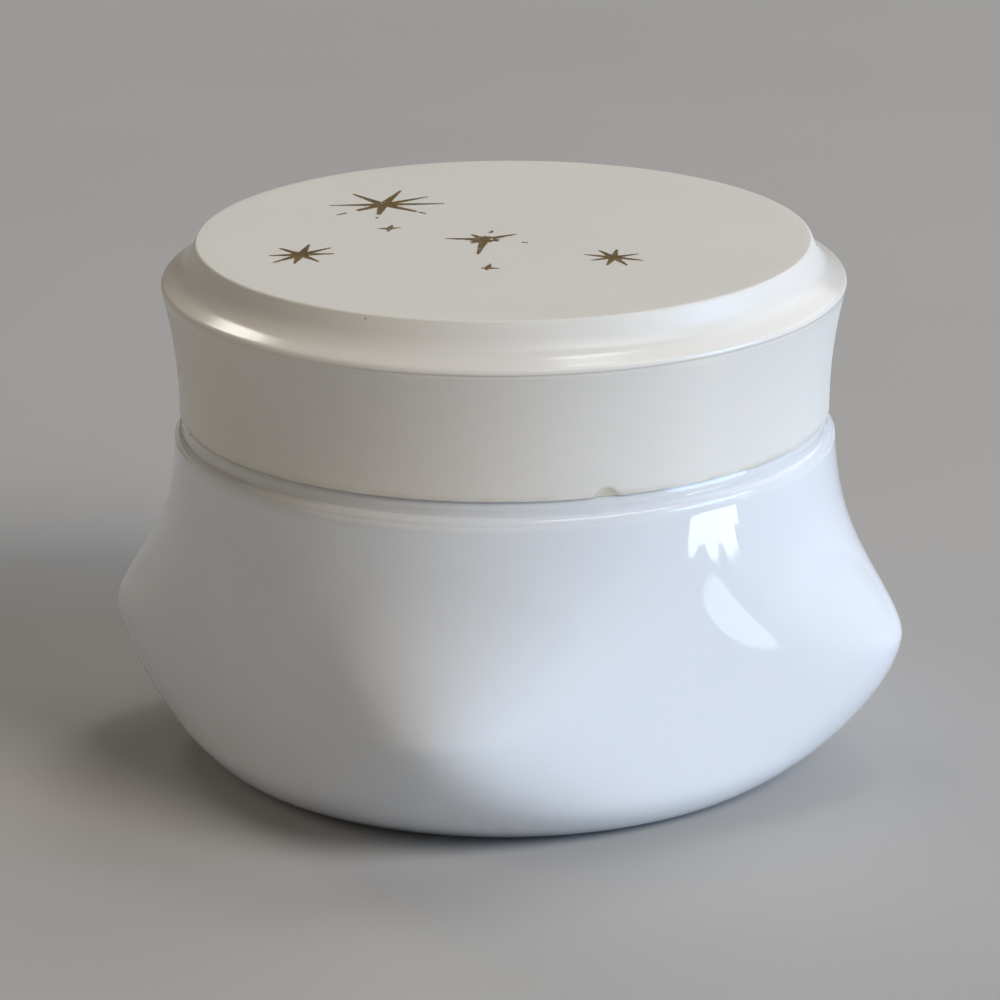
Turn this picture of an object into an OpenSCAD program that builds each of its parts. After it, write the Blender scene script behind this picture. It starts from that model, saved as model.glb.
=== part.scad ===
// Small screw-top cosmetic cream jar: an opal glass body that swells into four
// soft lobes, and a moulded screw cap with a raised top disc and foil starbursts.
// Origin: centre of the foot, on the surface the jar stands on. +Z is up.
// The four lobes point along +X, +Y, -X and -Y. All sizes are in millimetres.

/* [Glass body] */
// Radius of the foot at the very bottom
foot_r = 21; // [19.5:0.1:22.5]
// Radius over the tips of the lobes
lobe_r = 32.6; // [30:0.1:34]
// Height of the lobe tips
lobe_z = 11; // [10:0.1:13]
// Radius of the flat sides between the lobes
side_r = 26; // [25.6:0.1:26.4]
// Height at which the flat sides reach their full radius
side_z = 4; // [3:0.1:7]
// Radius of the waist, just under the shoulder, where the body is round again
waist_r = 26.6; // [26.4:0.1:27]
// Height over which the lobes die away above their tips
swell_h = 7.2; // [6:0.1:8]
// Height at which the body ends and the collar under the cap begins
body_top_z = 27.8; // [26:0.1:30]
// Radius of the rounding on the body's top edge, beside the collar
shoulder_round = 0.8; // [0.5:0.05:1]

/* [Shoulder and neck finish] */
// Radius of the collar under the cap
collar_r = 26.1; // [26:0.05:26.3]
// Height of the collar
collar_h = 1.2; // [0.8:0.1:1.6]
// Height of the neck above the collar
neck_h = 10.8; // [9.5:0.1:11]
// Radius of the neck at the thread root
neck_r = 22.6; // [22.4:0.05:22.8]
// Radius over the thread ridge of the neck
neck_thread_r = 23.7; // [23.4:0.05:23.8]
// Radius of the mouth
mouth_r = 20; // [19.6:0.1:20.4]

/* [Thread] */
// Rise of the thread in one turn
thread_lead = 4.23; // [4:0.01:4.5]
// Turns of thread on the neck
neck_thread_turns = 1.3; // [1:0.05:1.4]
// Turns of thread in the cap
cap_thread_turns = 1.1; // [0.8:0.05:1.2]

/* [Well and base] */
// Radius of the well below the mouth
well_r = 19.5; // [18.5:0.1:19.6]
// Height of the well's floor
well_floor_z = 9; // [7:0.5:14]
// Radius of the round between the well's floor and its wall
well_corner_r = 8; // [5:0.5:9]
// Inner radius of the ring that the jar stands on
base_ring_r = 15.5; // [13:0.5:17]
// Depth of the hollow inside that ring
base_hollow = 1.2; // [0.8:0.1:2]

/* [Cap] */
// Gap between the collar and the bottom edge of the closed cap
cap_gap = 0.1; // [0.1:0.05:0.3]
// Height of the cap
cap_h = 13.9; // [13.4:0.1:14.5]
// Radius of the cap's skirt at its bottom edge
skirt_r = 26.25; // [26:0.05:26.5]
// Radius of the cap at its crest
crest_r = 27.55; // [27.3:0.05:27.8]
// Height of the crest, the cap's widest ring, above the bottom edge
crest_h = 10.45; // [10.2:0.05:11]
// Radius of the rounding on the crest
crest_round = 0.5; // [0.2:0.05:0.7]
// How far the crest's rounding turns before the sloping ledge begins, in degrees
crest_turn = 64; // [58:1:70]
// Radius of the hollow between the ledge and the wall round the disc
cove_r = 2.6; // [1:0.1:3]
// Lean of that wall from upright, in degrees
wall_lean = 22; // [15:1:30]
// Radius of the raised top disc
disc_r = 24.8; // [24.2:0.1:25]
// Radius of the rounding on the disc's edge
disc_round = 0.25; // [0.1:0.05:0.4]
// Radius of the cap's bore at its thread root
cap_bore_r = 24; // [23.95:0.05:24.2]
// Radius inside the cap's thread ridge
cap_thread_r = 22.95; // [22.9:0.05:23.1]
// Thickness of the cap's top
cap_top_t = 2.1; // [1.6:0.1:2.4]

/* [Liner] */
// Radius of the liner
liner_r = 23.6; // [23:0.1:23.8]
// Thickness of the facing that seals on the glass
facing_t = 0.2; // [0.15:0.05:0.3]

/* [Foil starbursts] */
// Depth to which the foil is pressed into the disc
foil_t = 0.06; // [0.04:0.01:0.1]
// Turn of the closed cap's decoration about the jar's axis, in degrees
decor_turn = 11; // [-180:1:180]

/* [Hidden] */
eps = 0.01;

// Heights that follow from the driving dimensions
shoulder_z = body_top_z + collar_h;
rim_z = shoulder_z + neck_h;
round_z = body_top_z - shoulder_round;
cap_z = shoulder_z + cap_gap;
cap_top_z = cap_z + cap_h;
ceiling_z = cap_top_z - cap_top_t;
backing_t = ceiling_z - rim_z - facing_t;

// Lofted body: points round a level, and levels up the body
sector_points = 20;
ring_points = 4 * sector_points;
foot_levels = 7;
flank_levels = 6;
upper_levels = 13;
round_levels = 3;
foot_z = 3;
// Exponents that shape the curve of the lobes under and over their tips
under_power = 1.55;
under_root = 0.62;
over_power = 1.65;

// Thread ridges: length of each step, run-out at each end, and widths at root and crest
thread_step = 10;
run_out = 30;
ridge_bite = 0.35;
neck_ridge_root = 2.4;
neck_ridge_crest = 1;
cap_ridge_root = 1.7;
cap_ridge_crest = 0.8;
neck_thread_z = shoulder_z + 2.6;
thread_play = 0.15;
// Least height of a ridge at its very ends, as a share of its full height
ridge_least = 0.05;

// Roundings of the glass rim and the collar, and the wider entry of the cap's bore
rim_round = 0.8;
collar_round = 0.4;
relief_h = 1.6;
relief_r = 24.5;

// How far joined solids reach into each other, and how far cuts run past a surface
root_depth = 1;
cut_past = 1;

opal = [0.93, 0.95, 0.97];
cream = [0.93, 0.91, 0.86];
foil_gold = [0.58, 0.45, 0.22];
board = [0.72, 0.66, 0.55];
facing_white = [0.95, 0.95, 0.92];

// Glass body. A level is a squared circle: its radius is side(z) at the middle of a
// flat side and lobe(z) at a lobe, and where the two are equal it is a true circle.
// rise() climbs from 0 to 1 and ends level; with 2 and 0.5 it is a quarter of an ellipse.
function rise(s, power, root) = pow(1 - pow(1 - s, power), root);
function lobe_under(z) = foot_r + (lobe_r - foot_r) * rise(z / lobe_z, under_power, under_root);
function lobe_over(z) = waist_r + (lobe_r - waist_r) * exp(-pow((z - lobe_z) / swell_h, over_power));
function lobe(z) = z < lobe_z ? lobe_under(z) : lobe_over(z);
function side(z) = z < side_z
    ? foot_r + (side_r - foot_r) * rise(z / side_z, 2, 0.5)
    : side_r + (waist_r - side_r) * pow((z - side_z) / (body_top_z - side_z), 2);
function square_power(z) = 1 / (0.5 - ln(max(lobe(z) / side(z), 1)) / ln(2));
function level_r(z, turn, p) = side(z)
    / pow(pow(abs(cos(turn - 45)), p) + pow(abs(sin(turn - 45)), p), 1 / p);
function level(z) = let (p = square_power(z))
    [for (i = [0 : ring_points - 1])
        let (turn = 360 * i / ring_points, r = level_r(z, turn, p))
        [r * cos(turn), r * sin(turn), z]];

// Levels crowd together at the foot, where the body turns in quickly
level_heights = concat(
    [for (i = [0 : foot_levels - 1]) foot_z * pow(i / foot_levels, 2)],
    [for (i = [0 : flank_levels - 1]) foot_z + (lobe_z - foot_z) * i / flank_levels],
    [for (i = [0 : upper_levels]) lobe_z + (round_z - lobe_z) * i / upper_levels]
);

// The top edge rounds in to the collar over a quarter circle
function round_ring(turn_in) =
    let (r = side(round_z) - shoulder_round * (1 - cos(turn_in)))
    [for (i = [0 : ring_points - 1])
        let (turn = 360 * i / ring_points)
        [r * cos(turn), r * sin(turn), round_z + shoulder_round * sin(turn_in)]];
body_rings = concat(
    [for (z = level_heights) level(z)],
    [for (i = [1 : round_levels]) round_ring(90 * i / round_levels)]
);

// Closed skin over a stack of rings that all have n points, wound outwards
function skin_faces(rings, n) = concat(
    [[for (i = [0 : n - 1]) i]],
    [for (k = [0 : rings - 2], i = [0 : n - 1])
        let (a = k * n + i, b = k * n + (i + 1) % n)
        each [[a, a + n, b], [b, a + n, b + n]]],
    [[for (i = [n - 1 : -1 : 0]) (rings - 1) * n + i]]
);

module loft(rings, n) {
    polyhedron(
        points = [for (ring = rings) each ring],
        faces = skin_faces(len(rings), n),
        convexity = 6
    );
}

// One station of a thread ridge, in the plane of the axis. The order of its four edges
// keeps the ridge's skin facing out, both on a neck and inside a cap.
function thread_station(turn, z, root_r, crest_r, root_w, crest_w) =
    let (way = crest_r > root_r ? 1 : -1)
    [
        for (p = [
            [root_r, -way * root_w / 2], [root_r, way * root_w / 2],
            [crest_r, way * crest_w / 2], [crest_r, -way * crest_w / 2]
        ])
            [p[0] * cos(turn), p[0] * sin(turn), z + p[1]]
    ];

// Height of the ridge along its length, from a run-out at one end to one at the other
function ridge_share(turn, total) = min(1, max(ridge_least, min(turn, total - turn) / run_out));

// Right-hand helical ridge that starts at height z and stands from base_r to tip_r
module thread_ridge(z, turns, base_r, tip_r, bite, root_w, crest_w, start = 0) {
    total = 360 * turns;
    steps = round(total / thread_step);
    loft([
        for (i = [0 : steps])
            let (turn = total * i / steps, share = ridge_share(turn, total))
            thread_station(
                start + turn, z + thread_lead * turn / 360,
                base_r + bite, base_r + (tip_r - base_r) * share,
                root_w, crest_w * share
            )
    ], 4);
}

// Collar, neck and rim as one turned solid that reaches down into the body
module neck_finish() {
    rotate_extrude($fn = 96) {
        translate([collar_r - collar_round, shoulder_z - collar_round])
            circle(r = collar_round, $fn = 32);
        polygon([
            [0, body_top_z - root_depth],
            [collar_r - root_depth, body_top_z - root_depth],
            [collar_r, body_top_z - shoulder_round],
            [collar_r, shoulder_z - collar_round],
            [collar_r - collar_round, shoulder_z],
            [neck_r, shoulder_z],
            [neck_r, rim_z - rim_round],
            [0, rim_z - rim_round]
        ]);
        square([neck_r - rim_round, rim_z]);
        translate([neck_r - rim_round, rim_z - rim_round])
            circle(r = rim_round, $fn = 32);
    }
}

// Space for the cream: mouth, well and rounded bottom
module well() {
    rotate_extrude($fn = 96) {
        translate([0, shoulder_z])
            square([mouth_r, neck_h + cut_past]);
        translate([0, well_floor_z + well_corner_r])
            square([well_r, shoulder_z - well_floor_z - well_corner_r + eps]);
        translate([0, well_floor_z])
            square([well_r - well_corner_r, well_corner_r + eps]);
        intersection() {
            translate([well_r - well_corner_r, well_floor_z + well_corner_r])
                circle(r = well_corner_r, $fn = 48);
            translate([0, well_floor_z])
                square([well_r, well_corner_r + eps]);
        }
    }
}

// Shallow hollow in the base, so that the jar stands on a ring
module base_recess() {
    translate([0, 0, -cut_past])
        cylinder(
            r1 = base_ring_r + cut_past, r2 = base_ring_r - base_hollow,
            h = cut_past + base_hollow, $fn = 96
        );
}

module glass_jar() {
    color(opal)
        difference() {
            union() {
                loft(body_rings, ring_points);
                neck_finish();
                thread_ridge(
                    neck_thread_z, neck_thread_turns, neck_r, neck_thread_r, -ridge_bite,
                    neck_ridge_root, neck_ridge_crest
                );
            }
            well();
            base_recess();
        }
}

// Cap. Its skirt is a shallow hollow arc that starts upright at the bottom edge.
skirt_flare = crest_r - skirt_r;
skirt_arc_r = (crest_h * crest_h + skirt_flare * skirt_flare) / (2 * skirt_flare);
skirt_sweep = asin(crest_h / skirt_arc_r);

// From the crest a ledge slopes up to a hollow, and a leaning wall rises from there to the
// disc, all in line with each other. Ledge and wall, drawn on, would cross at cove_corner.
crest_x = crest_r - crest_round;
ledge_foot = [crest_x + crest_round * cos(crest_turn), crest_h + crest_round * sin(crest_turn)];
wall_head = [
    disc_r - disc_round * (1 - cos(wall_lean)), cap_h - disc_round * (1 - sin(wall_lean))
];
cove_turn = crest_turn - wall_lean;
slope_w = ledge_foot[0] - wall_head[0];
slope_h = wall_head[1] - ledge_foot[1];
wall_run = (slope_h * sin(crest_turn) - slope_w * cos(crest_turn)) / sin(cove_turn);
cove_corner = wall_head + wall_run * [sin(wall_lean), -cos(wall_lean)];
cove_foot = cove_corner + cove_r * tan(cove_turn / 2) * [sin(crest_turn), -cos(crest_turn)];

function skirt_arc(steps) = [
    for (i = [0 : steps])
        let (a = skirt_sweep * i / steps)
        [skirt_r + skirt_arc_r * (1 - cos(a)), skirt_arc_r * sin(a)]
];
function crest_arc(steps) = [
    for (i = [1 : steps])
        let (a = crest_turn * i / steps)
        [crest_x + crest_round * cos(a), crest_h + crest_round * sin(a)]
];
function cove_arc(steps) = [
    for (i = [0 : steps])
        let (a = crest_turn - cove_turn * i / steps)
        cove_foot + cove_r * [cos(crest_turn) - cos(a), sin(crest_turn) - sin(a)]
];
function disc_edge_arc(steps) = [
    for (i = [0 : steps])
        let (a = wall_lean + (90 - wall_lean) * i / steps)
        [disc_r - disc_round * (1 - cos(a)), cap_h - disc_round * (1 - sin(a))]
];
cap_outline = concat(
    [[0, 0]], skirt_arc(12), crest_arc(6), cove_arc(8), disc_edge_arc(4), [[0, cap_h]]
);

// Hollow of the cap: thread bore, entry relief at the bottom edge and flat ceiling
module cap_hollow() {
    translate([0, 0, cap_z - cut_past])
        cylinder(r = cap_bore_r, h = ceiling_z - cap_z + cut_past, $fn = 96);
    translate([0, 0, cap_z - cut_past])
        cylinder(r = relief_r, h = relief_h + cut_past, $fn = 96);
}

// The cap's ridge lies under the neck's ridge and bears on it with a little play. They
// first meet where the cap's crest reaches the flank of the neck's ridge.
flank_share = (cap_thread_r - neck_r + ridge_bite) / (neck_thread_r - neck_r + ridge_bite);
neck_ridge_there = neck_ridge_root + (neck_ridge_crest - neck_ridge_root) * flank_share;
cap_thread_start = 180;
cap_thread_z = neck_thread_z + thread_lead * cap_thread_start / 360
    - (neck_ridge_there + cap_ridge_crest) / 2 - thread_play;

module cap_shell() {
    color(cream)
        difference() {
            union() {
                difference() {
                    translate([0, 0, cap_z])
                        rotate_extrude($fn = 128)
                            polygon(cap_outline);
                    cap_hollow();
                }
                thread_ridge(
                    cap_thread_z, cap_thread_turns, cap_bore_r, cap_thread_r, ridge_bite,
                    cap_ridge_root, cap_ridge_crest, cap_thread_start
                );
            }
            foil_marks(eps);
        }
}

// Liner: a pulpboard disc with a thin facing that seals on the glass rim
module liner_backing() {
    color(board)
        translate([0, 0, rim_z + facing_t])
            cylinder(r = liner_r, h = backing_t, $fn = 96);
}

module liner_facing() {
    color(facing_white)
        translate([0, 0, rim_z])
            cylinder(r = liner_r, h = facing_t, $fn = 96);
}

// A ray is [angle, length]. An optional third value is where its foil is broken off and
// a fourth is where it starts again. A ray narrows from the hub's width to a blunt tip.
tip_share = 0.22;
function ray_w(hub, at, length) = hub * (1 - (1 - tip_share) * at / length);
module ray_piece(hub, from, to, length) {
    from_w = ray_w(hub, from, length);
    to_w = ray_w(hub, to, length);
    polygon([[from, -from_w / 2], [to, -to_w / 2], [to, to_w / 2], [from, from_w / 2]]);
}
module ray(hub, spec) {
    length = spec[1];
    rotate(spec[0]) {
        ray_piece(hub, 0, len(spec) > 2 ? spec[2] : length, length);
        if (len(spec) > 3)
            ray_piece(hub, spec[3], length, length);
    }
}

// A starburst is its place on the disc, the width of its hub and its rays, and then, if
// it has one, the place and diameter of a worn hole. Its round middle is a little narrower
// than the hub.
middle_share = 0.9;
module star(design, lift = 0) {
    hub = design[1];
    color(foil_gold)
        rotate(decor_turn)
            translate([design[0][0], design[0][1], cap_top_z - foil_t])
                linear_extrude(foil_t + lift)
                    difference() {
                        union() {
                            circle(d = hub * middle_share, $fn = 24);
                            for (spec = design[2])
                                ray(hub, spec);
                        }
                        if (len(design) > 3)
                            translate([design[3][0], design[3][1]])
                                circle(d = design[3][2], $fn = 16);
                    }
}

large_star = [
    [-9.8, 10.3], 0.85, [
        [2, 5], [34, 4.4], [73, 4.7], [126, 4.3],
        [182, 4.4], [221, 4.9, 2.8, 3.9], [264, 4.4, 3.2, 4], [320, 4.6, 3.6, 3.9]
    ]
];
left_star = [
    [-16.1, -5.1], 0.8, [
        [5, 2.7], [41, 3.1], [79, 3.1], [131, 2.7],
        [185, 2.5], [228, 3.1], [261, 2.7], [305, 2.6]
    ]
];
centre_star = [
    [-1.5, -0.9], 0.85, [
        [32, 3], [77, 2.8, 1, 2.1], [124, 1.9],
        [173, 3.2], [205, 1.3], [226, 1.6], [263, 4.5], [300, 1], [343, 3.6, 1.2, 3.1]
    ],
    [0.55, 0.1, 0.35]
];
right_star = [
    [8.7, -6.6], 0.7, [
        [27, 2.2], [83, 2.4], [118, 2.4], [158, 2.5],
        [205, 2], [256, 2.4], [293, 2.6], [337, 2.5]
    ]
];
small_upper_star = [[-9.2, 2.7], 0.55, [[17, 1], [78, 1.1], [178, 0.9], [266, 0.9]]];
small_lower_star = [[-1.3, -9.5], 0.55, [[78, 1.3], [178, 0.5], [262, 0.6], [351, 1]]];

// All the foil at once, for the shallow pockets that it lies in
module foil_marks(lift) {
    for (design = [large_star, left_star, centre_star, right_star, small_upper_star, small_lower_star])
        star(design, lift);
}

module star_large() {
    star(large_star);
}

module star_left() {
    star(left_star);
}

module star_centre() {
    star(centre_star);
}

module star_right() {
    star(right_star);
}

module star_small_upper() {
    star(small_upper_star);
}

module star_small_lower() {
    star(small_lower_star);
}

glass_jar();
cap_shell();
liner_backing();
liner_facing();
star_large();
star_left();
star_centre();
star_right();
star_small_upper();
star_small_lower();
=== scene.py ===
"""Looks of a small opal glass cream jar with a moulded screw cap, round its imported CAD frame.

The jar stands on the floor with +Z up and its four lobes along the X and Y axes. Lengths
are in metres. Sizes that the frame holds are read from it, and the others are named here.
"""
import math

import bmesh
import bpy
import numpy as np
from mathutils import Matrix, Vector, noise


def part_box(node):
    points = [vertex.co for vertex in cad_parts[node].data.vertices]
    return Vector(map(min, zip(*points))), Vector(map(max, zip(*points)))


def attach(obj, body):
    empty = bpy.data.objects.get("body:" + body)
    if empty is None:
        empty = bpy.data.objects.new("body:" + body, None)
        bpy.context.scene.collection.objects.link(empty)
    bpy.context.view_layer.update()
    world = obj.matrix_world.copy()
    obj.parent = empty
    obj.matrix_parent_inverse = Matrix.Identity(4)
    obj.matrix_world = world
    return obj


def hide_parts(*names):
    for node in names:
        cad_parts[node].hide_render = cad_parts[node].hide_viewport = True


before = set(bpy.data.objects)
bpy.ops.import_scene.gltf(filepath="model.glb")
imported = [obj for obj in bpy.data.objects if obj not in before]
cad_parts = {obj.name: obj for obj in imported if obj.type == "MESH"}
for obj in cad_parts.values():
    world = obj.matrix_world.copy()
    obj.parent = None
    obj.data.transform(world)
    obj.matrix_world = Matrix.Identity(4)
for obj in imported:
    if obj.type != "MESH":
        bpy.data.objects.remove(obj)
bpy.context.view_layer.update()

MM = 0.001

# ---------------------------------------------------------------- sizes from the frame
_, jar_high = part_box("glass_jar")
cap_low, cap_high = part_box("cap_shell")
backing_low, backing_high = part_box("liner_backing")
facing_low, facing_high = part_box("liner_facing")

LOBE_R = jar_high.x
RIM_Z = jar_high.z
CAP_Z = cap_low.z
CAP_TOP = cap_high.z
CREST_R = cap_high.x
LINER_R = backing_high.x
CEILING_Z = backing_high.z

# ---------------------------------------------------------------- glass body and neck
FOOT_R = 21.0 * MM
LOBE_Z = 11.0 * MM
SIDE_R = 26.0 * MM
SIDE_Z = 4.0 * MM
WAIST_R = 26.6 * MM
SWELL_H = 7.2 * MM
BODY_TOP_Z = 27.8 * MM
SHOULDER_ROUND = 0.8 * MM
COLLAR_R = 26.1 * MM
COLLAR_H = 1.2 * MM
COLLAR_BULGE_R = 1.1 * MM
SHOULDER_Z = BODY_TOP_Z + COLLAR_H
NECK_R = 22.6 * MM
NECK_THREAD_R = 23.7 * MM
MOUTH_R = 20.0 * MM
WELL_R = 19.5 * MM
WELL_FLOOR_Z = 9.0 * MM
WELL_CORNER_R = 8.0 * MM
BASE_RING_R = 15.5 * MM
BASE_HOLLOW = 1.2 * MM
RIM_ROUND = 0.8 * MM
# How the lobes' outline curves below and above their widest level
UNDER_POWER = 1.55
UNDER_ROOT = 0.62
OVER_POWER = 1.65
JAR_AROUND = 288

# ---------------------------------------------------------------- cap
SKIRT_R = 26.25 * MM
CREST_H = 10.45 * MM
CREST_ROUND = 0.5 * MM
CREST_TURN = 64
COVE_R = 2.6 * MM
WALL_LEAN = 22
DISC_R = 24.8 * MM
DISC_ROUND = 0.25 * MM
CAP_BORE_R = 24.0 * MM
CAP_THREAD_R = 22.95 * MM
RELIEF_R = 24.5 * MM
RELIEF_H = 1.6 * MM
CAP_AROUND = 448
# The skirt's bottom edge is drawn this far under the frame's, close above the collar
SEAM = 0.07 * MM
# Height of the fine line where the crest meets the skirt
PARTING_W = 0.07 * MM

# ---------------------------------------------------------------- screw thread
THREAD_LEAD = 4.23 * MM
RUN_OUT = math.radians(30)

# ---------------------------------------------------------------- mesh helpers


def arc(centre, radius, start, end, steps):
    """Points (r, z) along an arc about centre, with its angles in degrees."""
    turns = np.radians(np.linspace(start, end, steps + 1))
    return [(centre[0] + radius * math.cos(t), centre[1] + radius * math.sin(t)) for t in turns]


def refine(outline, longest):
    """The outline with points added so that no stretch is longer than longest."""
    points = [outline[0]]
    for start, end in zip(outline, outline[1:]):
        count = max(1, math.ceil(math.dist(start, end) / longest))
        for i in range(1, count + 1):
            share = i / count
            points.append(tuple(a + (b - a) * share for a, b in zip(start, end)))
    return points


def turned_rings(outline, around, radius_at=None):
    """One ring of points for each (r, z) of the outline. radius_at(r, z, turns) can shape a ring."""
    turns = np.linspace(0, 2 * math.pi, around, endpoint=False)
    rings = []
    for r, z in outline:
        radii = np.full(around, r) if radius_at is None else radius_at(r, z, turns)
        heights = np.full(around, z)
        rings.append(np.stack([radii * np.cos(turns), radii * np.sin(turns), heights], axis=1))
    return rings


def ring_mesh(name, rings):
    """A closed mesh through the rings. Its first and last rings are closed with a middle point."""
    around = len(rings[0])
    bottom, top = rings[0].mean(axis=0), rings[-1].mean(axis=0)
    points = np.concatenate([bottom[None], *rings, top[None]])
    last = len(points) - 1
    faces = []
    for j in range(around):
        k = (j + 1) % around
        faces.append((0, 1 + k, 1 + j))
        faces.append((last - around + j, last - around + k, last))
    for i in range(len(rings) - 1):
        a, b = 1 + i * around, 1 + (i + 1) * around
        faces += [(a + j, a + (j + 1) % around, b + (j + 1) % around, b + j) for j in range(around)]
    mesh = bpy.data.meshes.new(name)
    mesh.from_pydata(points.tolist(), [], faces)
    mesh.polygons.foreach_set("use_smooth", [True] * len(mesh.polygons))
    mesh.update()
    piece = bpy.data.objects.new(name, mesh)
    bpy.context.scene.collection.objects.link(piece)
    return piece


def ridge(turns, z, start_z, total_turns, root_w, crest_w, start=0.0):
    """How much of its full height a helical thread ridge has at each turn of one ring."""
    total = 2 * math.pi * total_turns
    height = np.zeros_like(turns)
    for wrap in range(3):
        along = (turns - start) % (2 * math.pi) + 2 * math.pi * wrap
        ends = np.clip(np.minimum(along, total - along) / RUN_OUT, 0, 1)
        off = np.abs(z - start_z - THREAD_LEAD * along / (2 * math.pi))
        flank = np.clip((root_w / 2 - off) / (root_w / 2 - crest_w / 2), 0, 1)
        height = np.maximum(height, flank * flank * (3 - 2 * flank) * np.sqrt(ends))
    return height


# ---------------------------------------------------------------- glass jar
NECK_THREAD_Z = SHOULDER_Z + 2.6 * MM
NECK_THREAD_TURNS = 1.3
NECK_RIDGE_W = (2.1 * MM, 0.9 * MM)


def rise(share, power, root):
    """How far the underside has swung out, from 0 to 1, at the given share of its height."""
    return (1 - (1 - share) ** power) ** root


def lobe_radius(z):
    if z < LOBE_Z:
        return FOOT_R + (LOBE_R - FOOT_R) * rise(z / LOBE_Z, UNDER_POWER, UNDER_ROOT)
    return WAIST_R + (LOBE_R - WAIST_R) * math.exp(-((z - LOBE_Z) / SWELL_H) ** OVER_POWER)


def side_radius(z):
    if z < SIDE_Z:
        return FOOT_R + (SIDE_R - FOOT_R) * rise(z / SIDE_Z, 2, 0.5)
    return SIDE_R + (WAIST_R - SIDE_R) * ((z - SIDE_Z) / (BODY_TOP_Z - SIDE_Z)) ** 2


def body_radius(z, turns):
    """Squared circle: the side radius between the lobes and the lobe radius on the axes."""
    side = side_radius(z)
    power = 1 / (0.5 - math.log2(max(lobe_radius(z) / side, 1)))
    across = np.abs(np.cos(turns - math.pi / 4)) ** power + np.abs(np.sin(turns - math.pi / 4)) ** power
    return side / across ** (1 / power)


def jar_outline():
    """(r, z) points of the base, body, shoulder, neck and inside, up the outside and into the well.

    The body's points hold only z, because its radius also depends on the turn.
    """
    hollow_r = BASE_RING_R - BASE_HOLLOW
    base = [(0.3 * MM, BASE_HOLLOW * 1.25), (hollow_r * 0.5, BASE_HOLLOW * 1.2), (hollow_r, BASE_HOLLOW)]
    base += arc((BASE_RING_R + 0.6 * MM, 0.6 * MM), 0.6 * MM, 160, 270, 8)
    base += [(FOOT_R - 0.3 * MM, 0.0)]
    base = refine(base, 0.7 * MM)
    levels = [3 * MM * (i / 16) ** 2 for i in range(1, 16)]
    round_z = BODY_TOP_Z - SHOULDER_ROUND
    levels += list(np.linspace(3 * MM, round_z, 66))
    body = [(None, z) for z in levels]
    round_r = side_radius(round_z) - SHOULDER_ROUND
    fillet = 0.2 * MM
    across = COLLAR_R + fillet - round_r
    up = math.sqrt((SHOULDER_ROUND + fillet) ** 2 - across ** 2)
    meet = math.degrees(math.atan2(up, across))
    shoulder = arc((round_r, round_z), SHOULDER_ROUND, 6, meet - 2, 9)
    shoulder += arc((COLLAR_R + fillet, round_z + up), fillet, 180 + meet - 6, 184, 6)
    bulge = (COLLAR_R - COLLAR_BULGE_R, BODY_TOP_Z + 0.55 * MM)
    top_turn = math.degrees(math.asin((SHOULDER_Z - 0.1 * MM - bulge[1]) / COLLAR_BULGE_R))
    collar = arc(bulge, COLLAR_BULGE_R, -12, top_turn, 9)
    shoulder += collar + arc((collar[-1][0] - 0.1 * MM, SHOULDER_Z - 0.1 * MM), 0.1 * MM, 20, 88, 4)
    neck_foot = arc((NECK_R + 0.5 * MM, SHOULDER_Z + 0.5 * MM), 0.5 * MM, 270, 180, 6)
    neck = refine([neck_foot[-1], (NECK_R, RIM_Z - RIM_ROUND)], 0.16 * MM)[1:]
    rim = arc((NECK_R - RIM_ROUND, RIM_Z - RIM_ROUND), RIM_ROUND, 10, 90, 8)
    rim += arc((MOUTH_R + 0.5 * MM, RIM_Z - 0.5 * MM), 0.5 * MM, 90, 180, 7)
    mouth_foot, well_head = (MOUTH_R, SHOULDER_Z + 0.6 * MM), (WELL_R, SHOULDER_Z - 0.6 * MM)
    mouth = refine([rim[-1], mouth_foot, well_head], 1.2 * MM)[1:]
    wall = refine([mouth[-1], (WELL_R, WELL_FLOOR_Z + WELL_CORNER_R)], 1.2 * MM)[1:]
    corner = arc((WELL_R - WELL_CORNER_R, WELL_FLOOR_Z + WELL_CORNER_R), WELL_CORNER_R, 0, -90, 16)[1:]
    floor = refine([corner[-1], (0.3 * MM, WELL_FLOOR_Z)], 1.2 * MM)[1:]
    return base, body, shoulder + neck_foot, neck + rim, mouth + wall + corner + floor


def make_jar():
    base, body, shoulder, neck, inside = jar_outline()
    rings = turned_rings(base, JAR_AROUND)
    rings += turned_rings(body, JAR_AROUND, lambda r, z, turns: body_radius(z, turns))
    rings += turned_rings(shoulder, JAR_AROUND)
    rings += turned_rings(
        neck, JAR_AROUND,
        lambda r, z, turns: r + (NECK_THREAD_R - NECK_R)
        * ridge(turns, z, NECK_THREAD_Z, NECK_THREAD_TURNS, *NECK_RIDGE_W)
    )
    rings += turned_rings(inside, JAR_AROUND)
    jar = ring_mesh("opal_jar", rings)
    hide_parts("glass_jar")
    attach(jar, "jar")
    return jar


# ---------------------------------------------------------------- cap
CAP_THREAD_START = math.pi
CAP_THREAD_TURNS = 1.1
CAP_RIDGE_W = (1.5 * MM, 0.7 * MM)
CAP_THREAD_Z = NECK_THREAD_Z + THREAD_LEAD / 2 - 1.4 * MM

# A small shallow chip in the skirt's bottom edge: its place, half width, height and depth
CHIP_TURN = math.radians(-62)
CHIP_HALF_W = 1.0 * MM
CHIP_H = 0.65 * MM
CHIP_DEPTH = 0.22 * MM


def skirt_points(steps):
    """The skirt's shallow hollow arc, upright at the bottom edge and flared at the crest."""
    flare = CREST_R - SKIRT_R
    radius = (CREST_H ** 2 + flare ** 2) / (2 * flare)
    sweep = math.asin(CREST_H / radius)
    return [
        (SKIRT_R + radius * (1 - math.cos(sweep * i / steps)), CAP_Z + radius * math.sin(sweep * i / steps))
        for i in range(steps + 1)
    ]


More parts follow.
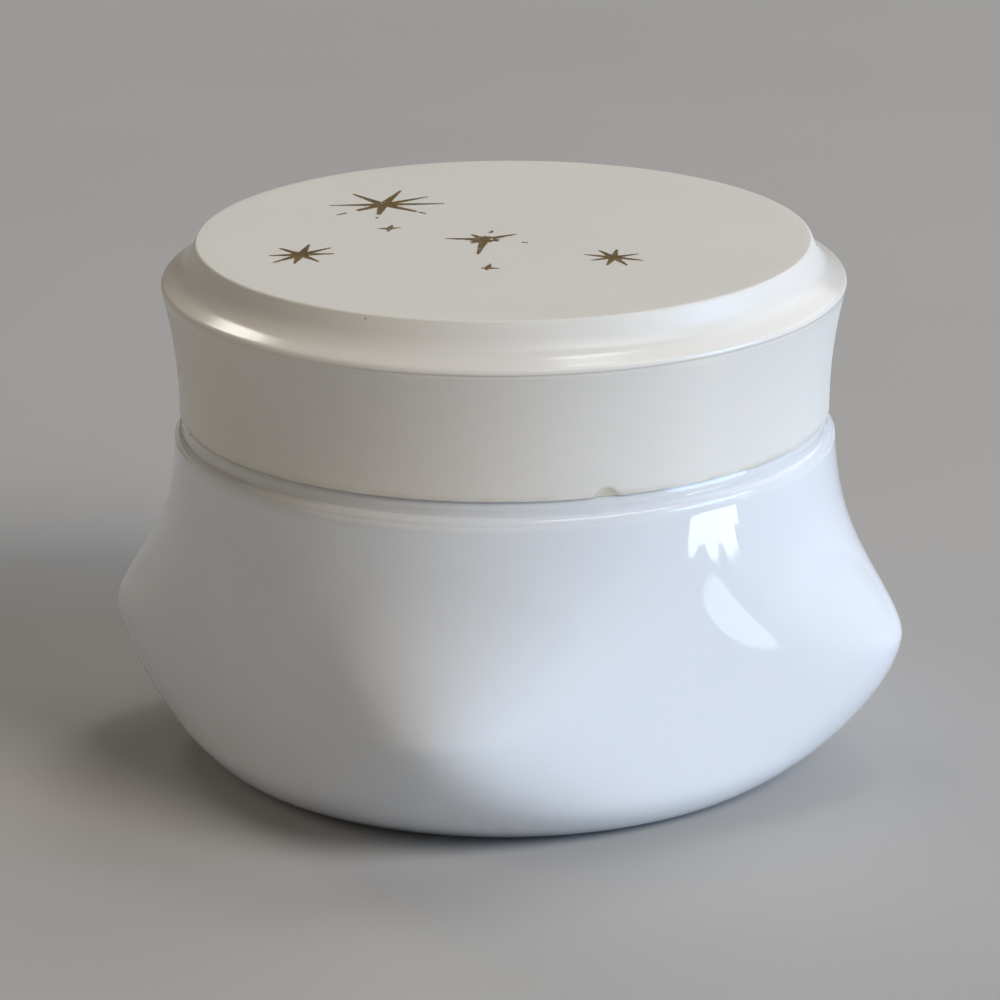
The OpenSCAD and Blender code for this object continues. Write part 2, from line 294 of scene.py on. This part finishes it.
def slope_points(foot, head):
    """Ledge, hollow and wall between the crest's rounding and the disc's edge."""
    out, up = math.radians(CREST_TURN), math.radians(WALL_LEAN)
    width, height = foot[0] - head[0], head[1] - foot[1]
    wall_run = (height * math.sin(out) - width * math.cos(out)) / math.sin(out - up)
    corner = (head[0] + wall_run * math.sin(up), head[1] - wall_run * math.cos(up))
    reach = COVE_R * math.tan((out - up) / 2)
    start = (corner[0] + reach * math.sin(out), corner[1] - reach * math.cos(out))
    centre = (start[0] + COVE_R * math.cos(out), start[1] + COVE_R * math.sin(out))
    hollow = arc(centre, COVE_R, 180 + CREST_TURN, 180 + WALL_LEAN, 16)
    ledge = refine([foot, hollow[0]], 0.15 * MM)[1:]
    wall = refine([hollow[-1], head], 0.15 * MM)[1:-1]
    return ledge + hollow[1:] + wall


def cap_outline():
    """(r, z) points of the ceiling, the bore, and the outside from the lip up to the disc."""
    lip = 0.05 * MM
    ceiling = refine([(0.3 * MM, CEILING_Z), (CAP_BORE_R - 0.5 * MM, CEILING_Z)], 1.5 * MM)
    ceiling += arc((CAP_BORE_R - 0.5 * MM, CEILING_Z - 0.5 * MM), 0.5 * MM, 80, 0, 5)
    bore = refine([ceiling[-1], (CAP_BORE_R, CAP_Z + RELIEF_H + 0.3 * MM)], 0.16 * MM)[1:]
    low = CAP_Z - SEAM
    relief = refine([bore[-1], (RELIEF_R, CAP_Z + RELIEF_H), (RELIEF_R, low + lip)], 0.2 * MM)[1:]
    edge = arc((RELIEF_R + lip, low + lip), lip, 190, 260, 4)
    edge += refine([edge[-1], (SKIRT_R - lip, low)], 0.3 * MM)[1:]
    edge += arc((SKIRT_R - lip, low + lip), lip, -80, 0, 5)
    skirt = [p for p in skirt_points(40) if CAP_Z + lip < p[1] < CAP_Z + CREST_H - 0.1 * MM]
    skirt.append((CREST_R - 0.06 * MM, CAP_Z + CREST_H - PARTING_W))
    crest = arc((CREST_R - CREST_ROUND, CAP_Z + CREST_H), CREST_ROUND, -5, CREST_TURN, 12)
    disc_edge = arc((DISC_R - DISC_ROUND, CAP_TOP - DISC_ROUND), DISC_ROUND, WALL_LEAN, 90, 8)
    slope = slope_points(crest[-1], disc_edge[0])
    disc = refine([disc_edge[-1], (0.3 * MM, CAP_TOP)], 1.2 * MM)[1:]
    return ceiling, bore, relief + edge + skirt + crest + slope + disc_edge + disc


def chip_the_edge(piece):
    """Breaks a small arched flake out of the skirt's outer face at its bottom edge."""
    for vertex in piece.data.vertices:
        x, y, z = vertex.co
        radius = math.hypot(x, y)
        across = (math.atan2(y, x) - CHIP_TURN) * SKIRT_R / CHIP_HALF_W
        if abs(across) > 1.3 or radius < SKIRT_R - 0.6 * MM or z > CAP_Z + 2 * CHIP_H:
            continue
        rough = 0.12 * noise.noise(Vector((x, y, z)) / (0.4 * MM))
        arch = 1 - across * across - (z - CAP_Z) / CHIP_H + rough
        bite = CHIP_DEPTH * min(1, max(0, 3 * arch))
        vertex.co.x *= 1 - bite / radius
        vertex.co.y *= 1 - bite / radius


def make_cap():
    ceiling, bore, outside = cap_outline()
    rings = turned_rings(ceiling, CAP_AROUND)
    rings += turned_rings(
        bore, CAP_AROUND,
        lambda r, z, turns: r - (CAP_BORE_R - CAP_THREAD_R)
        * ridge(turns, z, CAP_THREAD_Z, CAP_THREAD_TURNS, *CAP_RIDGE_W, CAP_THREAD_START)
    )
    rings += turned_rings(outside, CAP_AROUND)
    cap = ring_mesh("cream_cap", rings)
    chip_the_edge(cap)
    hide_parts("cap_shell")
    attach(cap, "cap")
    return cap


# ---------------------------------------------------------------- liner
RIM_MIDDLE = (MOUTH_R + NECK_R) / 2
RIM_DENT = 0.05 * MM


def disc_outline(low, high, radius, round_r):
    """Half outline of a disc with rounded edges, from its underside to its top."""
    under = refine([(0.3 * MM, low), (radius - round_r, low)], 1.2 * MM)
    edge = arc((radius - round_r, low + round_r), round_r, -80, 0, 4)
    edge += arc((radius - round_r, high - round_r), round_r, 0, 80, 4)
    over = refine([(radius - round_r, high), (0.3 * MM, high)], 1.2 * MM)
    return under + edge + over


def make_backing():
    """Pulpboard disc, die cut, so its edge is a little fuzzy and uneven."""
    rings = turned_rings(disc_outline(backing_low.z, backing_high.z, LINER_R, 0.12 * MM), 288)
    backing = ring_mesh("pulpboard_disc", rings)
    for vertex in backing.data.vertices:
        if math.hypot(vertex.co.x, vertex.co.y) > LINER_R - 0.2 * MM:
            fuzz = 1 - 0.0022 * (1 + noise.noise(vertex.co / (0.45 * MM)))
            vertex.co.x *= fuzz
            vertex.co.y *= fuzz
    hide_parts("liner_backing")
    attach(backing, "liner")
    return backing


def make_facing():
    """Thin facing with the round dent that the glass rim presses into it."""
    pressed = []
    for r, z in refine(disc_outline(facing_low.z, facing_high.z, LINER_R, 0.06 * MM), 0.3 * MM):
        dent = RIM_DENT * math.exp(-((r - RIM_MIDDLE) / (0.9 * MM)) ** 2)
        pressed.append((r, z + (dent if z < facing_low.z + 0.01 * MM else 0)))
    facing = ring_mesh("sealing_facing", turned_rings(pressed, 192))
    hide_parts("liner_facing")
    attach(facing, "liner")
    return facing


# ---------------------------------------------------------------- foil starbursts
STARS = ["star_large", "star_left", "star_centre", "star_right", "star_small_upper", "star_small_lower"]
FOIL_TOP = CAP_TOP + 0.012 * MM
FOIL_BOTTOM = CAP_TOP - 0.03 * MM
FOIL_STEP = 0.07 * MM
FOIL_RAGGED = 0.045 * MM


def make_star(node):
    """The CAD star's outline with the ragged edge of worn hot-stamped foil."""
    sheet = bmesh.new()
    sheet.from_mesh(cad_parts[node].data)
    top_z = max(v.co.z for v in sheet.verts)
    lower = [f for f in sheet.faces if any(v.co.z < top_z - 0.005 * MM for v in f.verts)]
    bmesh.ops.delete(sheet, geom=lower, context="FACES")
    bmesh.ops.remove_doubles(sheet, verts=sheet.verts, dist=0.001 * MM)
    bmesh.ops.dissolve_limit(sheet, angle_limit=0.01, verts=sheet.verts, edges=sheet.edges)
    for edge in [e for e in sheet.edges if e.is_boundary]:
        cuts = int(edge.calc_length() / FOIL_STEP)
        if cuts:
            bmesh.ops.subdivide_edges(sheet, edges=[edge], cuts=cuts)
    for vertex in sheet.verts:
        shift = noise.noise_vector(vertex.co / (0.3 * MM))
        shift += 0.6 * noise.noise_vector(vertex.co / (0.11 * MM))
        vertex.co.x += shift.x * FOIL_RAGGED
        vertex.co.y += shift.y * FOIL_RAGGED
        vertex.co.z = FOIL_BOTTOM
    bmesh.ops.triangulate(sheet, faces=sheet.faces)
    raised = bmesh.ops.extrude_face_region(sheet, geom=sheet.faces[:])
    for item in raised["geom"]:
        if isinstance(item, bmesh.types.BMVert):
            item.co.z = FOIL_TOP
    bmesh.ops.recalc_face_normals(sheet, faces=sheet.faces)
    mesh = bpy.data.meshes.new("foil_" + node)
    sheet.to_mesh(mesh)
    sheet.free()
    star = bpy.data.objects.new("foil_" + node, mesh)
    bpy.context.scene.collection.objects.link(star)
    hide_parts(node)
    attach(star, "cap")
    return star


# ---------------------------------------------------------------- material helpers


class Paint:
    """A material's node tree, with short calls that add and join its nodes."""

    def __init__(self, name):
        self.material = bpy.data.materials.new(name)
        self.material.use_nodes = True
        self.tree = self.material.node_tree
        self.tree.nodes.clear()
        self.shader = self.add("ShaderNodeBsdfPrincipled")
        output = self.add("ShaderNodeOutputMaterial")
        self.join(self.shader.outputs["BSDF"], output.inputs["Surface"])
        self.place = self.add("ShaderNodeTexCoord").outputs["Object"]

    def add(self, kind, **settings):
        node = self.tree.nodes.new(kind)
        for key, value in settings.items():
            setattr(node, key, value)
        return node

    def join(self, source, target):
        if isinstance(source, bpy.types.NodeSocket):
            self.tree.links.new(source, target)
        else:
            target.default_value = source

    def value(self, **inputs):
        """Sets the shader's own sockets, such as Roughness=0.3 or Coat_Weight=0.5."""
        for key, value in inputs.items():
            self.join(value, self.shader.inputs[key.replace("_", " ")])

    def maths(self, operation, *inputs, clamp=False):
        node = self.add("ShaderNodeMath", operation=operation, use_clamp=clamp)
        for socket, value in zip(node.inputs, inputs):
            self.join(value, socket)
        return node.outputs[0]

    def stretch(self, scale):
        """Object coordinates scaled by axis."""
        node = self.add("ShaderNodeMapping")
        self.join(self.place, node.inputs["Vector"])
        node.inputs["Scale"].default_value = scale
        return node.outputs[0]

    def noise(self, scale, detail=3.0, rough=0.55, where=None, distortion=0.0):
        node = self.add("ShaderNodeTexNoise")
        self.join(where or self.place, node.inputs["Vector"])
        node.inputs["Scale"].default_value = scale
        node.inputs["Detail"].default_value = detail
        node.inputs["Roughness"].default_value = rough
        node.inputs["Distortion"].default_value = distortion
        return node.outputs[0]

    def specks(self, scale, size, share):
        """1 on small round specks, on about the given share of the cells, and 0 elsewhere."""
        cells = self.add("ShaderNodeTexVoronoi")
        self.join(self.place, cells.inputs["Vector"])
        cells.inputs["Scale"].default_value = scale
        near = self.span(cells.outputs["Distance"], size, size * 0.5)
        pick = self.add("ShaderNodeSeparateColor")
        self.join(cells.outputs["Color"], pick.inputs[0])
        chosen = self.maths("LESS_THAN", pick.outputs[0], share)
        return self.maths("MULTIPLY", near, chosen)

    def span(self, source, low, high, to_low=0.0, to_high=1.0):
        """source from low to high, mapped smoothly on to_low to to_high."""
        node = self.add("ShaderNodeMapRange", interpolation_type="SMOOTHSTEP")
        for socket, value in zip(node.inputs, (source, low, high, to_low, to_high)):
            self.join(value, socket)
        return node.outputs[0]

    def mix(self, factor, first, second):
        node = self.add("ShaderNodeMix", data_type="RGBA")
        self.join(factor, node.inputs["Factor"])
        for value, socket in ((first, node.inputs[6]), (second, node.inputs[7])):
            self.join((*value, 1.0) if isinstance(value, tuple) else value, socket)
        return node.outputs[2]

    def coordinates(self):
        """The object's x, y and z, and its distance from the axis."""
        parts = self.add("ShaderNodeSeparateXYZ")
        self.join(self.place, parts.inputs[0])
        x, y, z = parts.outputs
        squares = self.maths("ADD", self.maths("MULTIPLY", x, x), self.maths("MULTIPLY", y, y))
        return x, y, z, self.maths("SQRT", squares)

    def bump(self, height, depth, below=None):
        """Bumps that are depth metres tall, on top of the normal below if there is one."""
        node = self.add("ShaderNodeBump")
        node.inputs["Distance"].default_value = depth
        self.join(height, node.inputs["Height"])
        if below is not None:
            self.join(below, node.inputs["Normal"])
        return node.outputs[0]


# ---------------------------------------------------------------- materials


def opal_glass():
    paint = Paint("opal_glass")
    x, _, z, radius = paint.coordinates()
    cloud = paint.span(paint.noise(55, 2.0), 0.35, 0.65)
    colour = paint.mix(cloud, (0.77, 0.80, 0.84), (0.79, 0.82, 0.855))
    # Crease under the cap: a little brownish dirt in patches, together with painted shade
    crease = paint.maths("ABSOLUTE", paint.maths("SUBTRACT", z, BODY_TOP_Z))
    patches = paint.span(paint.noise(300, 3.0), 0.3, 0.65, 0.75, 1.0)
    crease_dirt_and_shade = paint.maths("MULTIPLY", paint.span(crease, 1.9 * MM, 0.4 * MM), patches)
    crease_dirt_and_shade = paint.maths("MULTIPLY", crease_dirt_and_shade, paint.span(radius, NECK_R, NECK_R + 1.5 * MM))
    # Dirt in the crease under the cap, with painted shade: the crease is painted darkest on the jar's left
    # side, away from the light
    dirt_and_left_shade = paint.span(x, 7 * MM, -12 * MM, 0.04, 0.36)
    colour = paint.mix(paint.maths("MULTIPLY", crease_dirt_and_shade, dirt_and_left_shade), colour, (0.46, 0.40, 0.27))
    colour = paint.mix(paint.specks(170, 0.07, 0.05), colour, (0.22, 0.18, 0.14))
    scuffs = paint.noise(900, 5.0, where=paint.stretch((1.0, 0.15, 1.0)))
    foot = paint.maths("MULTIPLY", paint.span(z, 0.6 * MM, 0.0), paint.span(scuffs, 0.45, 0.6))
    smudge = paint.span(paint.noise(130, 4.0, distortion=0.8), 0.42, 0.72, 0.03, 0.07)
    rough = paint.maths("ADD", smudge, paint.maths("MULTIPLY", foot, 0.3))
    paint.value(Base_Color=colour, Roughness=rough, IOR=1.51, Specular_IOR_Level=0.5)
    paint.value(Subsurface_Weight=0.5, Subsurface_Radius=(1.0, 1.05, 1.12), Subsurface_Scale=2.2 * MM)
    wave = paint.bump(paint.noise(75, 1.5), 0.03 * MM)
    ripple = paint.bump(paint.noise(330, 2.0), 0.004 * MM, wave)
    paint.value(Normal=paint.bump(paint.noise(1500, 2.0), 0.0008 * MM, ripple))
    return paint.material


def cream_plastic():
    paint = Paint("cap_plastic")
    x, y, z, _ = paint.coordinates()
    cloud = paint.span(paint.noise(38, 2.0), 0.35, 0.65)
    colour = paint.mix(cloud, (0.775, 0.755, 0.71), (0.795, 0.777, 0.735))
    streaks = paint.noise(90, 2.0, where=paint.stretch((0.3, 1.8, 1.0)), distortion=0.6)
    colour = paint.mix(paint.span(streaks, 0.45, 0.7, 0.0, 0.25), colour, (0.81, 0.795, 0.76))
    patches = paint.span(paint.noise(330, 4.0), 0.3, 0.6)
    lip = paint.maths("MULTIPLY", paint.span(z, CAP_Z + 0.5 * MM, CAP_Z), patches)
    colour = paint.mix(paint.maths("MULTIPLY", lip, 0.4), colour, (0.56, 0.50, 0.36))
    colour = paint.mix(chip_mask(paint, x, y, z), colour, (0.60, 0.54, 0.38))
    colour = paint.mix(paint.specks(160, 0.022, 0.05), colour, (0.30, 0.24, 0.17))
    disc = paint.span(z, CAP_TOP - 0.3 * MM, CAP_TOP - 0.05 * MM)
    # The top disc is painted a little darker and greener than the rest: partly its own tone, partly painted
    # shade that tones down the light falling on the top
    colour = paint.mix(paint.maths("MULTIPLY", disc, 0.38), colour, (0.69, 0.70, 0.655))
    from_crest = paint.maths("ABSOLUTE", paint.maths("SUBTRACT", z, CAP_Z + CREST_H + 0.4 * MM))
    crest = paint.span(from_crest, 1.6 * MM, 0.4 * MM)
    smudge = paint.span(paint.noise(120, 2.0), 0.35, 0.7, -0.02, 0.03)
    rough = paint.maths("SUBTRACT", 0.42, paint.maths("MULTIPLY", crest, 0.24))
    rough = paint.maths("ADD", rough, paint.maths("MULTIPLY", disc, 0.16))
    rough = paint.maths("ADD", rough, smudge)
    paint.value(Base_Color=colour, Roughness=rough, IOR=1.5, Specular_IOR_Level=0.5)
    paint.value(Subsurface_Weight=0.25, Subsurface_Radius=(1.0, 0.8, 0.6), Subsurface_Scale=0.8 * MM)
    moulded = paint.bump(paint.noise(110, 1.0), 0.006 * MM)
    paint.value(Normal=paint.bump(paint.noise(2600, 2.0), 0.0008 * MM, moulded))
    return paint.material


def chip_mask(paint, x, y, z):
    """1 along the arched outline of the chip in the skirt's bottom edge, and less inside it."""
    chip_x, chip_y = SKIRT_R * math.cos(CHIP_TURN), SKIRT_R * math.sin(CHIP_TURN)
    squares = []
    for place, middle in ((x, chip_x), (y, chip_y)):
        off = paint.maths("DIVIDE", paint.maths("SUBTRACT", place, middle), CHIP_HALF_W)
        squares.append(paint.maths("MULTIPLY", off, off))
    across = paint.maths("ADD", *squares)
    up = paint.maths("DIVIDE", paint.maths("SUBTRACT", z, CAP_Z), CHIP_H)
    arch = paint.maths("SUBTRACT", paint.maths("SUBTRACT", 1.0, across), up)
    inside = paint.span(arch, 0.0, 0.2, 0.0, 0.35)
    outline = paint.span(paint.maths("ABSOLUTE", arch), 0.3, 0.0, 0.0, 0.65)
    return paint.maths("ADD", inside, outline, clamp=True)


def gold_foil():
    paint = Paint("gold_foil")
    tone = paint.span(paint.noise(1400, 4.0), 0.3, 0.7)
    gold = paint.mix(tone, (0.20, 0.135, 0.055), (0.30, 0.205, 0.09))
    worn = paint.span(paint.noise(3800, 3.0), 0.63, 0.70)
    paint.value(Base_Color=paint.mix(worn, gold, (0.72, 0.69, 0.62)))
    paint.value(Metallic=paint.maths("MULTIPLY", paint.maths("SUBTRACT", 1.0, worn), 0.45))
    paint.value(Roughness=paint.span(paint.noise(2200, 3.0), 0.3, 0.7, 0.32, 0.5))
    paint.value(Normal=paint.bump(paint.noise(5200, 2.0), 0.004 * MM))
    return paint.material


def pulpboard():
    paint = Paint("liner_board")
    fibres = paint.noise(2100, 6.0, 0.7, where=paint.stretch((1.0, 0.3, 1.0)), distortion=2.0)
    colour = paint.mix(paint.span(fibres, 0.35, 0.65), (0.42, 0.34, 0.24), (0.60, 0.52, 0.40))
    flecks = paint.specks(900, 0.16, 0.16)
    paint.value(Base_Color=paint.mix(paint.maths("MULTIPLY", flecks, 0.6), colour, (0.26, 0.19, 0.12)))
    paint.value(Roughness=0.92, Specular_IOR_Level=0.2)
    paint.value(Normal=paint.bump(fibres, 0.05 * MM))
    return paint.material


def facing_film():
    paint = Paint("liner_film")
    radius = paint.coordinates()[3]
    from_rim = paint.maths("ABSOLUTE", paint.maths("SUBTRACT", radius, RIM_MIDDLE))
    pressed = paint.span(from_rim, 1.4 * MM, 0.3 * MM)
    cloud = paint.span(paint.noise(260, 4.0), 0.35, 0.7)
    colour = paint.mix(cloud, (0.74, 0.72, 0.65), (0.80, 0.785, 0.73))
    paint.value(Base_Color=paint.mix(paint.maths("MULTIPLY", pressed, 0.35), colour, (0.60, 0.55, 0.45)))
    paint.value(Roughness=paint.span(paint.noise(500, 3.0), 0.3, 0.7, 0.22, 0.38))
    paint.value(Normal=paint.bump(paint.noise(700, 3.0), 0.01 * MM))
    return paint.material


# ---------------------------------------------------------------- floor and world
FLOOR_HALF = 4.0
WORLD_COLOUR = (1.0, 0.75, 0.5)
WORLD_STRENGTH = 0.06


def floor_material():
    paint = Paint("floor")
    tone = paint.span(paint.noise(9, 3.0), 0.3, 0.7)
    paint.value(Base_Color=paint.mix(tone, (0.46, 0.457, 0.45), (0.48, 0.477, 0.47)), Roughness=0.9)
    paint.value(Specular_IOR_Level=0.1)
    return paint.material


def make_floor():
    mesh = bpy.data.meshes.new("floor")
    corners = [(FLOOR_HALF * x, FLOOR_HALF * y, 0) for x, y in ((-1, -1), (1, -1), (1, 1), (-1, 1))]
    mesh.from_pydata(corners, [], [(0, 1, 2, 3)])
    floor = bpy.data.objects.new("floor", mesh)
    bpy.context.scene.collection.objects.link(floor)
    mesh.materials.append(floor_material())


def make_world():
    world = bpy.data.worlds.new("studio")
    world.use_nodes = True
    background = world.node_tree.nodes["Background"]
    background.inputs["Color"].default_value = (*WORLD_COLOUR, 1.0)
    background.inputs["Strength"].default_value = WORLD_STRENGTH
    bpy.context.scene.world = world


# ---------------------------------------------------------------- lights
LIGHT_DISTANCE = 1.2
LIGHT_TARGET = (0, 0, 20 * MM)
PANE_COLOUR = (0.85, 1.0, 1.0)

# Name, azimuth, elevation, size, watts and colour. A large window stands on the right.
LIGHTS = [
    ("room", -68, 32, (0.9, 0.9), 2.15, (1.0, 0.94, 0.85)),
    ("window_low", 86, 14, (0.75, 0.55), 8.0, (0.42, 0.66, 1.0)),
    ("window_high", 62, 36, (0.55, 0.55), 8.0, (1.0, 0.92, 0.83)),
    ("window_back", 150, 38, (1.2, 1.0), 3.9, (0.95, 0.93, 0.95)),
    ("table_bounce", 52, 2, (0.5, 0.08), 1.2, (0.76, 0.88, 1.0)),
    ("window_left", -138, 40, (0.22, 0.22), 1.08, (1.0, 0.96, 0.90)),
    ("ceiling", 155, 70, (0.27, 0.27), 1.2, (0.95, 0.98, 0.95)),
    ("window_gloss", 58, 56, (1.0, 0.36), 4.0, (1.0, 0.95, 0.90)),
]
# Lights that have no reflection of their own
NO_REFLECTION = ("window_high", "room", "table_bounce")
# The part of the window that only the gloss shows, high enough to miss the front lobe's slope
GLOSS_ONLY = ("window_gloss",)

# Name, centre, (width, height), tilt, watts and shape of low window panes that only the gloss
# shows. The three short ones under the first are the window's lower edge, cut by plants.
PANES = [
    ("pane_top", (60 * MM, -19.5 * MM, 9.2 * MM), (14.5 * MM, 2.4 * MM), 12, 0.00075, "RECTANGLE"),
    ("pane_corner", (60 * MM, -11.5 * MM, 11.4 * MM), (1.8 * MM, 1.2 * MM), 12, 0.000045, "RECTANGLE"),
    ("pane_left", (60 * MM, -25.4 * MM, 7.0 * MM), (2.8 * MM, 2.0 * MM), 12, 0.00009, "ELLIPSE"),
    ("pane_middle", (60 * MM, -20.2 * MM, 7.9 * MM), (3.6 * MM, 2.2 * MM), 12, 0.00013, "ELLIPSE"),
    ("pane_right", (60 * MM, -15.4 * MM, 9.0 * MM), (3.0 * MM, 1.4 * MM), 12, 0.00007, "ELLIPSE"),
    ("pane_lower", (60 * MM, -19.6 * MM, 3.1 * MM), (7.5 * MM, 5.2 * MM), 0, 0.00027, "ELLIPSE"),
]


def direction(azimuth, elevation):
    """The way out from the jar in degrees. Azimuth 0 is in front of it and 90 on its right."""
    a, e = math.radians(azimuth), math.radians(elevation)
    return Vector((math.sin(a) * math.cos(e), -math.cos(a) * math.cos(e), math.sin(e)))


def make_area_light(name, azimuth, elevation, distance, size, watts, colour, target=LIGHT_TARGET):
    """A soft light that aims at its target from the given side and distance."""
    data = bpy.data.lights.new(name, "AREA")
    data.shape = "ELLIPSE"
    data.size, data.size_y = size
    data.energy = watts
    data.color = colour
    light = bpy.data.objects.new(name, data)
    away = direction(azimuth, elevation)
    light.location = Vector(target) + away * distance
    light.rotation_euler = away.to_track_quat("Z", "Y").to_euler()
    light.visible_camera = False
    bpy.context.scene.collection.objects.link(light)
    return light


def make_pane(name, place, size, tilt, watts, shape):
    """A small bright pane close to the glass, which adds a reflection but no diffuse light."""
    pane = make_area_light(name, 90, 0, 0, size, watts, PANE_COLOUR, target=place)
    pane.rotation_euler.rotate_axis("Z", math.radians(tilt))
    pane.data.shape = shape
    pane.visible_diffuse = False


def make_lights():
    for name, azimuth, elevation, size, watts, colour in LIGHTS:
        light = make_area_light(name, azimuth, elevation, LIGHT_DISTANCE, size, watts, colour)
        light.visible_glossy = name not in NO_REFLECTION
        light.visible_diffuse = name not in GLOSS_ONLY
    for pane in PANES:
        make_pane(*pane)


# ---------------------------------------------------------------- camera
CAMERA_AZIMUTH = 10.9
CAMERA_ELEVATION = 17.8
CAMERA_DISTANCE = 0.450
CAMERA_LENS = 198.9
CAMERA_ROLL = -0.4
CAMERA_TARGET_Z = CAP_Z - 8.3 * MM
CAMERA_SIDESTEP = -0.42 * MM


def make_camera():
    data = bpy.data.cameras.new("camera")
    data.lens = CAMERA_LENS
    data.sensor_width = 36
    data.clip_start, data.clip_end = 0.01, 50
    camera = bpy.data.objects.new("camera", data)
    away = direction(CAMERA_AZIMUTH, CAMERA_ELEVATION)
    right = direction(CAMERA_AZIMUTH + 90, 0)
    camera.location = Vector((0, 0, CAMERA_TARGET_Z)) + right * CAMERA_SIDESTEP + away * CAMERA_DISTANCE
    aim = away.to_track_quat("Z", "Y").to_matrix() @ Matrix.Rotation(math.radians(CAMERA_ROLL), 3, "Z")
    camera.rotation_euler = aim.to_euler()
    bpy.context.scene.collection.objects.link(camera)
    bpy.context.scene.camera = camera


# ---------------------------------------------------------------- build
make_jar().data.materials.append(opal_glass())
make_cap().data.materials.append(cream_plastic())
make_backing().data.materials.append(pulpboard())
make_facing().data.materials.append(facing_film())
foil = gold_foil()
for star_node in STARS:
    make_star(star_node).data.materials.append(foil)

make_floor()
make_world()
make_lights()
make_camera()

bpy.context.scene.view_settings.view_transform = "Standard"
